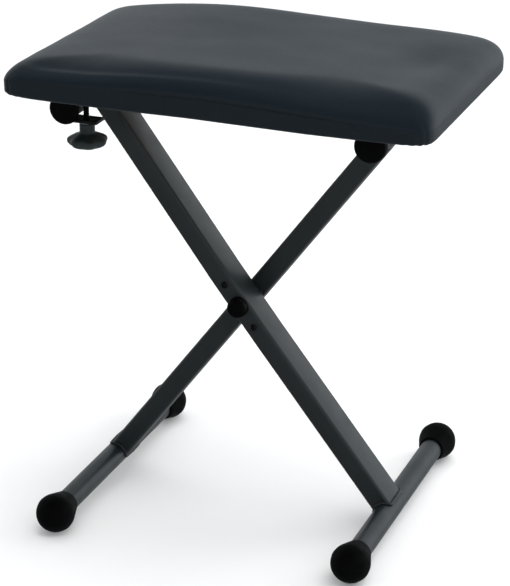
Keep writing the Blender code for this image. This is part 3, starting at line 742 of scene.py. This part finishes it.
def detail_cushion(mesh):
    """Pleats and folds at the corners, the pressed hollow, slack waves and one pulled corner."""
    points = points_of(mesh)
    normals = np.zeros(len(mesh.vertices) * 3)
    mesh.vertices.foreach_get("normal", normals)
    normals = normals.reshape(-1, 3)
    x, y, z = points.T
    around = np.arctan2(y / HALF_WIDTH, x / HALF_LENGTH)
    edge = np.maximum(np.abs(x) / HALF_LENGTH, np.abs(y) / HALF_WIDTH)
    rim = edge > 0.90
    depth = np.zeros(len(points))

    for sign_x in (-1, 1):
        for sign_y in (-1, 1):
            corner = math.atan2(sign_y * 0.93, sign_x * 0.93)
            off = (around - corner + math.pi) % (2 * math.pi) - math.pi
            low = 1 / (1 + np.exp((z - 0.4790) / 0.0022))
            near = np.exp(-(off / 0.055) ** 2)
            pleats = np.cos(off / 0.0135 * math.pi)
            depth += rim * low * near * 0.0007 * (0.55 - 0.45 * pleats)
            fold = np.exp(-((off - 0.012) / 0.0045) ** 2)
            rise = 1 / (1 + np.exp((z - 0.4850) / 0.0030))
            depth += rim * rise * fold * 0.0010

    hollow = np.exp(-(((x - HOLLOW_X) / HOLLOW_LONG) ** 2 + ((y - HOLLOW_Y) / HOLLOW_WIDE) ** 2))
    depth += (z > 0.485) * hollow * HOLLOW_DEPTH
    waves = np.array([noise.noise(Vector((px * 16, py * 22, 3.1))) for px, py in zip(x, y)])
    depth += (z > 0.484) * waves * 0.0004

    corner = np.exp(-(((x - HALF_LENGTH) / 0.022) ** 2 + ((y + HALF_WIDTH) / 0.022) ** 2))
    corner /= 1 + np.exp((z - 0.486) / 0.003)
    shifted = points - normals * depth[:, None]
    shifted[:, 0] += CORNER_PULL * corner
    shifted[:, 1] -= CORNER_PULL * corner
    put_points(mesh, shifted)


def make_cushion():
    blank, held = cushion_blank()
    cover = blow_up(blank, held)
    cover = subdivided(cover, 1)
    detail_cushion(cover)
    cover.name = "seat_cushion"
    cover.shade_smooth()
    obj = bpy.data.objects.new("seat_cushion", cover)
    bpy.context.scene.collection.objects.link(obj)
    cover.materials.clear()
    cover.materials.append(FINISH["seat_vinyl"])
    cover.materials.append(BACKING)
    skin = obj.modifiers.new("vinyl_thickness", "SOLIDIFY")
    skin.thickness = VINYL
    skin.offset = -1.0
    skin.material_offset = 1
    skin.material_offset_rim = 1
    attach(obj, "seat")
    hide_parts("seat_cover")
    make_foam(cover)
    return obj


def make_foam(cover):
    """The foam under the cover: the cover's own shape moved in, closed on top of the board."""
    bm = bmesh.new()
    bm.from_mesh(cover)
    bm.normal_update()
    floor_z = BOARD_HIGH.z + FOAM_GAP
    moves = [vert.normal * (VINYL + FOAM_GAP) for vert in bm.verts]
    for vert, move in zip(bm.verts, moves):
        vert.co -= move
    below = [vert for vert in bm.verts if vert.co.z < floor_z]
    bmesh.ops.delete(bm, geom=below, context="VERTS")
    rim = [edge for edge in bm.edges if edge.is_boundary]
    for vert in {vert for edge in rim for vert in edge.verts}:
        vert.co.z = floor_z
    bmesh.ops.holes_fill(bm, edges=rim, sides=0)
    foam = piece("foam_block", bm, FINISH["seat_foam"], "seat", ["seat_foam"], 50)
    return foam


def box_at(bm, centre, size, turn=0.0):
    """A small box, turned about +Z."""
    place = Matrix.Translation(centre) @ Matrix.Rotation(turn, 4, "Z")
    made = bmesh.ops.create_cube(bm, size=1.0, matrix=place @ Matrix.Diagonal((*size, 1.0)))
    return made["verts"]


def make_staples():
    """Wire staples through the hem into the board, all round."""
    bm = bmesh.new()
    inset = 0.0105
    spots = []
    for i in range(13):
        x = -0.190 + 0.380 * i / 12
        spots += [(x, -(HALF_WIDTH - inset), 0.0), (x, HALF_WIDTH - inset, 0.0)]
    for j in range(8):
        y = -0.112 + 0.224 * j / 7
        spots += [(-(HALF_LENGTH - inset), y, math.pi / 2), (HALF_LENGTH - inset, y, math.pi / 2)]
    for index, (x, y, turn) in enumerate(spots):
        skew = turn + 0.22 * math.sin(index * 2.4)
        box_at(bm, (x, y, HEM_Z - 0.00025), (0.0105, 0.0012, 0.0006), skew)
    bmesh.ops.bevel(bm, geom=bm.edges[:], offset=0.00015, segments=1, affect="EDGES")
    return piece("hem_staples", bm, FINISH["zinc_plate"], "seat")


# ---------------------------------------------------------------- feet and caps


def make_foot(node, body, end):
    """A ball ended rubber foot: thin lip on the tube, flared neck, ball, parting line."""
    low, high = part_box(node)
    radius = (high.z - low.z) / 2
    centre = (low + high) / 2
    ball_y = high.y - radius if end > 0 else low.y + radius
    mouth = (low.y if end > 0 else high.y)
    neck = abs(ball_y - mouth)
    tube = 0.0123
    lip = tube + 0.0015
    cone = Vector((neck, lip + 0.0003))
    tangent = math.degrees(math.pi - cone.angle(Vector((1, 0))) - math.acos(radius / cone.length))
    ball = arc(0, 0, radius, tangent, 0, 26)
    profile = [(tube, -neck + 0.010), (tube, -neck), (lip - 0.0003, -neck),
               (lip + 0.0002, -neck + 0.0005)]
    start = Vector((lip + 0.0003, -neck + 0.0008))
    finish = Vector((ball[0][1], ball[0][0]))
    for i in range(1, 9):
        point = start.lerp(finish, i / 9)
        profile.append((point.x, point.y))
    for reach, r in ball[:-1]:
        seam = 0.00025 * math.exp(-((reach - 0.0015) / 0.0006) ** 2)
        profile.append((r + seam, reach))
    profile.append((0.0, radius))
    bm = lathe(profile, (centre.x, ball_y, centre.z), (0, end, 0), 64)
    return piece(node.replace("foot_cap", "rubber_foot"), bm, FINISH["foot_rubber"], body,
                 [node], 40)


def make_top_cap(node, body, end):
    """A short mushroom cap with a domed end and a moulded ring."""
    low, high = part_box(node)
    radius = (high.z - low.z) / 2
    centre = (low + high) / 2
    mouth = (low.y if end > 0 else high.y)
    deep = high.y - low.y
    tube = 0.0123
    flare = min(0.0066, 0.30 * deep)
    profile = [(tube, 0.45 * deep), (tube, 0), (tube + 0.0011, 0), (tube + 0.0015, 0.0004),
               (tube + 0.0018, 0.10 * deep)]
    profile += [(tube + 0.0018 + (radius - tube - 0.0018) * s ** 0.7, 0.10 * deep + flare * s)
                for s in (0.15, 0.3, 0.5, 0.7, 0.85, 1.0)]
    edge = arc(deep - 0.0050, radius - 0.0040, 0.0040, 85, 12, 7)
    profile += [(r, reach) for reach, r in edge]
    dome = deep - edge[-1][0]
    rim = edge[-1][1]
    profile += [(rim * (1 - s), edge[-1][0] + dome * (1 - (1 - s) ** 2)) for s in
                (0.15, 0.3, 0.45, 0.6, 0.8)]
    profile.append((0.0, deep))
    bm = lathe(profile, (centre.x, mouth, centre.z), (0, end, 0), 56)
    return piece(node.replace("top_cap", "bar_cap"), bm, FINISH["cap_plastic"], body,
                 [node], 40)


def make_nut_cover(node, body, end):
    """The round push-on cover over the pivot's nut or bolt head."""
    low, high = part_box(node)
    radius = (high.z - low.z) / 2
    deep = high.y - low.y
    centre = (low + high) / 2
    start = (low.y if end > 0 else high.y)
    inside = 0.0083
    profile = [(inside, 0.0012), (inside, 0.0), (radius - 0.0003, 0.0), (radius, 0.0003),
               (radius, 0.0016), (radius - 0.0004, 0.0020), (radius - 0.0005, deep - 0.0040)]
    profile += [(r, reach) for reach, r in
                arc(deep - 0.0036, radius - 0.0041, 0.0036, 90, 8, 8)]
    rim = profile[-1][0]
    profile += [(rim * 0.72, deep - 0.00012), (rim * 0.68, deep - 0.0005),
                (rim * 0.35, deep - 0.0005)]
    profile.append((0.0, deep - 0.0005))
    bm = lathe(profile, (centre.x, start, centre.z), (0, end, 0), 48)
    return piece(node.replace("pivot_cap", "nut_cover"), bm, FINISH["cap_plastic"], body,
                 [node], 40)


# ---------------------------------------------------------------- knob and stud


def make_knob():
    """The lobed clamp knob with a round stem, soft rims and a dished underside."""
    low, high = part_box("clamp_knob")
    centre = (low + high) / 2
    tall = high.z - low.z
    head = 0.0147
    stem = 0.0079
    full = 0.0210
    insert_low, insert_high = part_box("knob_insert")
    bore = (insert_high.x - insert_low.x) / 2 + 0.00005
    bore_floor = 0.0030
    lobes = 7
    rows = [(bore, bore_floor, 0), (bore, tall - 0.0004, 0), (bore + 0.0004, tall, 0),
            (stem - 0.0006, tall, 0), (stem, tall - 0.0006, 0), (stem, head + 0.0016, 0),
            (stem + 0.0005, head + 0.0004, 0), (stem + 0.0022, head - 0.0006, 0.0001),
            (full * 0.66, head - 0.0020, 0.0005), (full * 0.84, head - 0.0036, 0.0012),
            (full * 0.95, head - 0.0050, 0.0019), (full, head - 0.0064, 0.0022),
            (full, head - 0.0088, 0.0022), (full * 0.965, head - 0.0102, 0.0021),
            (full * 0.87, 0.0024, 0.0017), (full * 0.72, 0.0008, 0.0010),
            (full * 0.58, 0.0001, 0.0004), (full * 0.50, 0.0, 0.0), (full * 0.40, 0.0004, 0.0),
            (full * 0.33, 0.0012, 0.0)]
    depths = {round(height, 6): depth for _, height, depth in rows}

    def lobe(radius, angle, reach):
        swell = 0.5 + 0.5 * math.cos(lobes * angle)
        return radius - depths[round(reach, 6)] * (1 - swell) ** 1.3

    profile = [(radius, height) for radius, height, _ in rows] + [(0.0, 0.0014)]
    depths[0.0014] = 0.0
    bm = lathe(profile, (centre.x, centre.y, low.z), (0, 0, 1), 112, lobe)
    cover = lathe([(bore, bore_floor), (0.0, bore_floor)], (centre.x, centre.y, low.z), (0, 0, 1), 112)
    joined = bpy.data.meshes.new("knob_socket")
    cover.to_mesh(joined)
    cover.free()
    bm.from_mesh(joined)
    bmesh.ops.remove_doubles(bm, verts=bm.verts, dist=1e-6)
    return piece("star_knob", bm, FINISH["knob_plastic"], "knob",
                 ["clamp_knob"], 40)


def make_stud():
    """The clamp's stud with its helical thread, between the board and the knob."""
    low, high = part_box("clamp_stud")
    centre = (low + high) / 2
    outer = (high.x - low.x) / 2
    root = outer - 0.00055
    pitch = 0.001
    around, per_turn = 20, 8
    start = low.z + 0.0006
    turns = (high.z - start) / pitch
    steps = int(turns * per_turn)
    bm = bmesh.new()
    rings = [[bm.verts.new((centre.x, centre.y, low.z))]]
    for k in range(steps + 1):
        height = start + (high.z - start) * k / steps
        ring = []
        for i in range(around):
            angle = 2 * math.pi * i / around
            phase = ((height - start) / pitch - i / around) % 1.0
            ridge = 1 - abs(2 * phase - 1)
            fade = min(1.0, (height - start) / (2 * pitch))
            radius = root + (outer - root) * min(1.0, ridge * 1.25) * fade
            ring.append(bm.verts.new((centre.x + radius * math.cos(angle),
                                      centre.y + radius * math.sin(angle), height)))
        rings.append(ring)
    rings.append([bm.verts.new((centre.x, centre.y, high.z))])
    for first, second in zip(rings, rings[1:]):
        join_rings(bm, first, second)
    return piece("threaded_stud", bm, FINISH["black_steel"], "seat",
                 ["clamp_stud"], 50)


# ---------------------------------------------------------------- welds


def make_weld(name, body, tube_node, bar_node, other_bar_node):
    """A rippled bead where a rectangular leg meets its round crossbar."""
    bar = middle_of(bar_node)
    other = middle_of(other_bar_node)
    to_bar = Vector((bar.x - other.x, 0, bar.z - other.z)).normalized()
    cross = Vector((to_bar.z, 0, -to_bar.x))
    radius, half_width, corner = WELD_BAR_RADIUS, LEG_HALF_WIDTH, LEG_CORNER
    mesh = NODES[tube_node].data
    near = [v.co.y for v in mesh.vertices
            if (Vector((v.co.x, 0, v.co.z)) - Vector((bar.x, 0, bar.z))).length < 0.0150]
    y_low, y_high = min(near), max(near)
    mid_y = (y_low + y_high) / 2
    half_depth = (y_high - y_low) / 2
    outline = []
    for index, (sy, sz) in enumerate(((1, 1), (-1, 1), (-1, -1), (1, -1))):
        for step in range(7):
            angle = math.pi / 2 * (index + step / 6)
            outline.append((sy * (half_depth - corner) + corner * math.cos(angle),
                            sz * (half_width - corner) + corner * math.sin(angle)))
    dense = []
    for (ay, az), (by, bz) in zip(outline, outline[1:] + outline[:1]):
        count = max(1, int(math.hypot(by - ay, bz - az) / 0.0007))
        dense += [(ay + (by - ay) * s / count, az + (bz - az) * s / count) for s in range(count)]
    bm = bmesh.new()
    rings = []
    length = 0.0
    previous = None
    for y, z in dense:
        if previous:
            length += math.hypot(y - previous[0], z - previous[1])
        previous = (y, z)
        drop = math.sqrt(max(0.0, radius ** 2 - z ** 2))
        spot = Vector((bar.x, mid_y + y, bar.z)) - to_bar * drop + cross * z
        outward = (cross * z / half_width + Vector((0, y / half_depth, 0)))
        outward = outward.normalized()
        back = -to_bar
        wave = 0.5 + 0.5 * math.cos(length / RIPPLE * 2 * math.pi)
        bulk = 0.0020 + 0.0004 * wave + 0.0002 * noise.noise(Vector((length * 260, 0, 1)))
        ring = []
        for k in range(BEAD_SIDES):
            turn = 2 * math.pi * k / BEAD_SIDES
            ring.append(bm.verts.new(spot + outward * (bulk * math.cos(turn) + 0.0002)
                                     + back * (bulk * math.sin(turn) + 0.0002)))
        rings.append(ring)
    for first, second in zip(rings, rings[1:] + rings[:1]):
        join_rings(bm, first, second)
    return piece(name, bm, WELD, body, (), 60)


# ---------------------------------------------------------------- stage


def make_floor():
    bm = bmesh.new()
    bmesh.ops.create_grid(bm, x_segments=2, y_segments=2, size=FLOOR_HALF)
    mesh = bpy.data.meshes.new("floor")
    bm.to_mesh(mesh)
    bm.free()
    floor = bpy.data.objects.new("floor", mesh)
    mesh.materials.append(floor_paper())
    bpy.context.scene.collection.objects.link(floor)
    floor.visible_glossy = False
    return floor


def soft_light(name, place, target, size, power, colour=(1, 1, 1)):
    lamp = bpy.data.lights.new(name, "AREA")
    lamp.shape = "RECTANGLE"
    lamp.size, lamp.size_y = size
    lamp.energy = power
    lamp.color = colour
    obj = bpy.data.objects.new(name, lamp)
    obj.location = place
    aim = Vector(target) - Vector(place)
    obj.rotation_euler = aim.to_track_quat("-Z", "Y").to_euler()
    bpy.context.scene.collection.objects.link(obj)
    return obj


def studio_world():
    """A bright wall behind the bench, a dimmer ceiling and a darker room in front."""
    world = bpy.data.worlds.new("studio")
    world.use_nodes = True
    tree = world.node_tree
    sky = tree.nodes["Background"]
    place = tree.nodes.new("ShaderNodeTexCoord")
    parts = tree.nodes.new("ShaderNodeSeparateXYZ")
    tree.links.new(place.outputs["Generated"], parts.inputs[0])

    def ramp(socket, low, high, to_low, to_high):
        made = tree.nodes.new("ShaderNodeMapRange")
        made.interpolation_type = "SMOOTHSTEP"
        tree.links.new(parts.outputs[socket], made.inputs["Value"])
        values = (low, high, to_low, to_high)
        for key, value in zip(("From Min", "From Max", "To Min", "To Max"), values):
            made.inputs[key].default_value = value
        return made.outputs["Result"]

    def product(first, second):
        made = tree.nodes.new("ShaderNodeMath")
        made.operation = "MULTIPLY"
        tree.links.new(first, made.inputs[0])
        tree.links.new(second, made.inputs[1])
        return made.outputs[0]

    depth = ramp("Y", -0.45, 0.55, 0.46, 0.92)
    ceiling = ramp("Z", 0.42, 0.78, 1.0, 0.37)
    ground = ramp("Z", -0.35, 0.02, 0.46, 1.0)
    side = ramp("X", -0.45, 0.50, 0.76, 1.14)
    sky_level = product(product(depth, ceiling), product(ground, side))
    tree.links.new(sky_level, sky.inputs["Strength"])
    backdrop = tree.nodes.new("ShaderNodeBackground")
    seen = tree.nodes.new("ShaderNodeLightPath")
    either = tree.nodes.new("ShaderNodeMixShader")
    tree.links.new(seen.outputs["Is Camera Ray"], either.inputs["Fac"])
    tree.links.new(sky.outputs[0], either.inputs[1])
    tree.links.new(backdrop.outputs[0], either.inputs[2])
    backdrop.inputs["Color"].default_value = (1.0, 1.0, 1.0, 1.0)
    tree.links.new(either.outputs[0], tree.nodes["World Output"].inputs["Surface"])
    sky.inputs["Color"].default_value = (0.92, 0.97, 1.0, 1.0)
    bpy.context.scene.world = world


def make_light(floor):
    studio_world()
    for lamp in (soft_light("overhead", (0.4, 0.3, 2.4), (0, 0, 0.1), (2.8, 2.2), 46),
                 soft_light("right_back", (2.2, 1.5, 1.3), (0, 0, 0.3), (1.4, 1.6), 16)):
        lamp.visible_glossy = False
    wash = soft_light("floor_wash", (0, 0, 6.0), (0, 0, 0), (FLOOR_HALF, FLOOR_HALF), FLOOR_WASH)
    wash.visible_glossy = False
    only_floor = bpy.data.collections.new("floor_wash_receivers")
    only_floor.objects.link(floor)
    wash.light_linking.receiver_collection = only_floor
    wash.light_linking.blocker_collection = only_floor


def make_camera():
    level = math.cos(CAMERA_ELEVATION)
    back = Vector((math.sin(CAMERA_AZIMUTH) * level, -math.cos(CAMERA_AZIMUTH) * level,
                   math.sin(CAMERA_ELEVATION)))
    data = bpy.data.cameras.new("camera")
    data.sensor_width = 36.0
    data.lens = CAMERA_LENS
    camera = bpy.data.objects.new("camera", data)
    camera.location = CAMERA_TARGET + back * CAMERA_DISTANCE
    camera.rotation_euler = (-back).to_track_quat("-Z", "Y").to_euler()
    bpy.context.scene.collection.objects.link(camera)
    bpy.context.scene.camera = camera


# ---------------------------------------------------------------- put together

SOFT_EDGES = {"clamp_jaw": 0.0004, "clamp_washer": 0.0002, "hinge_strap": 0.0004,
              "hinge_saddle": 0.0005, "glide_rail": 0.0005, "pivot_bolt": 0.0003,
              "pivot_nut": 0.0003, "seat_board": 0.0005}

for row in frame["record"]["subparts"]:
    node = row["node"]
    width = max([size for start, size in SOFT_EDGES.items() if node.startswith(start)],
                default=0.0)
    finish_cad(node, FINISH[row["material_slot"]], width)

make_camera()
make_light(make_floor())
make_cushion()
make_staples()
for side, foot_body, cap_body in (("left", "leg_b_frame", "leg_a_frame"),
                                  ("right", "leg_a_frame", "leg_b_frame")):
    for place, end in (("front", -1), ("rear", 1)):
        make_foot(f"foot_cap_{side}_{place}", foot_body, end)
        make_top_cap(f"top_cap_{side}_{place}", cap_body, end)
for place, end in (("front", -1), ("rear", 1)):
    make_nut_cover(f"pivot_cap_{place}", "leg_b_frame", end)
make_knob()
make_stud()
for letter, body in (("a", "leg_a_frame"), ("b", "leg_b_frame")):
    foot_bar, top_bar = f"leg_{letter}_foot_crossbar", f"leg_{letter}_top_crossbar"
    make_weld(f"leg_{letter}_foot_weld", body, f"leg_{letter}_tube", foot_bar, top_bar)
    make_weld(f"leg_{letter}_top_weld", body, f"leg_{letter}_tube", top_bar, foot_bar)

bpy.context.scene.view_settings.view_transform = "Standard"
